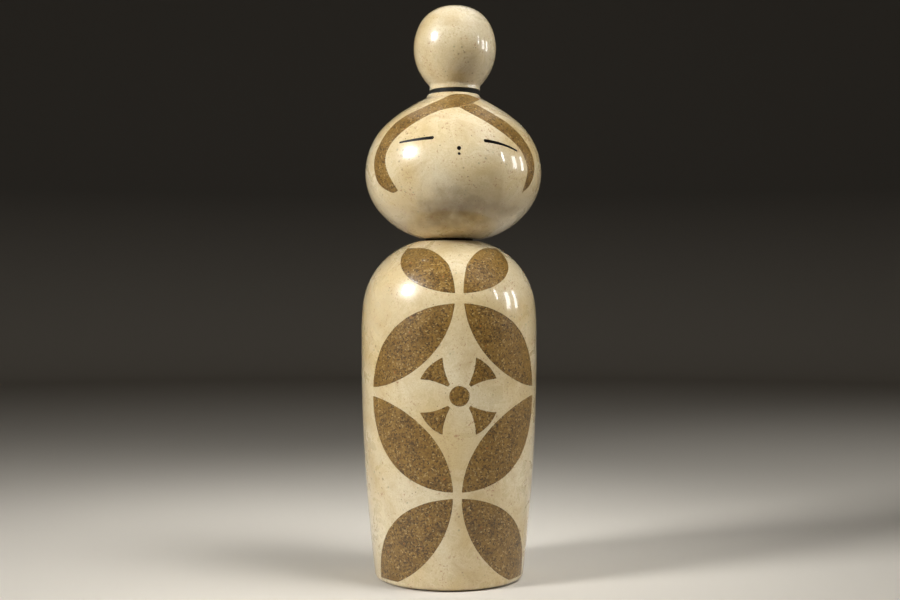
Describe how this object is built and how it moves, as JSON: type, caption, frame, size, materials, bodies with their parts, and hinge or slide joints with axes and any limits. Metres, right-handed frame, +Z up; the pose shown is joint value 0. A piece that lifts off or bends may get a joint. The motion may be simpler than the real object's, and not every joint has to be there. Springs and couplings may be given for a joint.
{
  "type": "kokeshi doll",
  "caption": "Free-standing turned kokeshi doll in pale polished stone with brown grit inlays; the head turns on a loose peg and lifts off, and a bun sits on top of it.",
  "frame": {"origin": "centre of the felt pad's underside, on the body's axis, where the doll stands", "axes": "+Z up along the body's axis; -Y is the front, where the body's pattern faces; +X to the viewer's right"},
  "size_m": [0.1132, 0.1108, 0.36],
  "materials": {
    "pale_stone": "polished",
    "brown_grit": "polished gritty",
    "black_lacquer": "glossy",
    "band_thread": "waxed thread",
    "peg_wood": "turned",
    "washer_leather": "matte",
    "felt": "felt"
  },
  "bodies": {
    "body": {"body": "pale_stone", "base_pad": "felt", "leaf_top_left": "brown_grit", "leaf_top_right": "brown_grit", "leaf_upper_left": "brown_grit", "leaf_upper_right": "brown_grit", "leaf_lower_left": "brown_grit", "leaf_lower_right": "brown_grit", "leaf_base_left": "brown_grit", "leaf_base_right": "brown_grit", "flower_upper_left": "brown_grit", "flower_upper_right": "brown_grit", "flower_lower_left": "brown_grit", "flower_lower_right": "brown_grit", "flower_middle": "brown_grit"},
    "neck": {"neck_peg": "peg_wood", "neck_washer": "washer_leather"},
    "head": {"head": "pale_stone", "topknot": "pale_stone", "topknot_peg": "peg_wood", "topknot_band": "band_thread", "hair_left": "brown_grit", "hair_right": "brown_grit", "eye_left": "black_lacquer", "eye_right": "black_lacquer", "nose_dot": "black_lacquer", "mouth_dot": "black_lacquer"}
  },
  "joints": [
    {"name": "head_turn", "type": "hinge", "parent": "body", "child": "neck", "pos_m": [0, 0, 0.2115], "axis": [0, 0, 1], "continuous": true},
    {"name": "head_lift", "type": "slide", "parent": "neck", "child": "head", "axis": [0, 0, 1], "range_m": [0, 0.045]}
  ]
}
